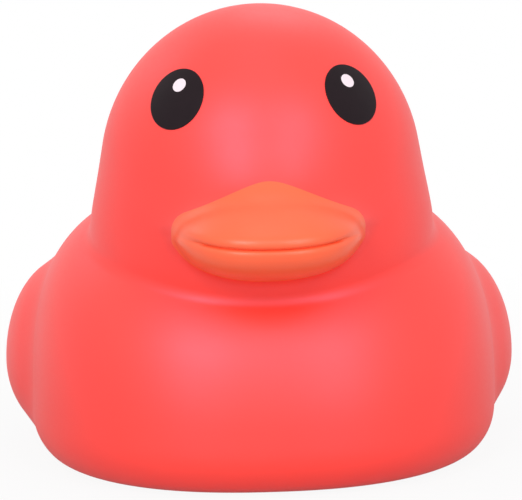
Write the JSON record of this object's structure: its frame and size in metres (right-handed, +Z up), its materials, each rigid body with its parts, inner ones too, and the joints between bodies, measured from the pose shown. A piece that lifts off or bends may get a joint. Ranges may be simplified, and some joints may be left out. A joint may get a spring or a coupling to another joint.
{
  "type": "squishy toy duck",
  "caption": "Squat squeezable toy duck in soft red vinyl: ball head with an orange bill and black oval eyes, side wings, upturned tail and a flat base to stand on.",
  "frame": {"origin": "centre of the flat base, under the middle of the body", "axes": "+Z up, the bill points along -Y, the tail along +Y and the duck's left wing is on +X"},
  "size_m": [0.0864, 0.0951, 0.0758],
  "materials": {
    "soft_vinyl": "satin",
    "bill_paint": "satin",
    "eye_black": "satin",
    "eye_white": "satin"
  },
  "bodies": {
    "root": {"duck_body": "soft_vinyl"}
  },
  "joints": []
}
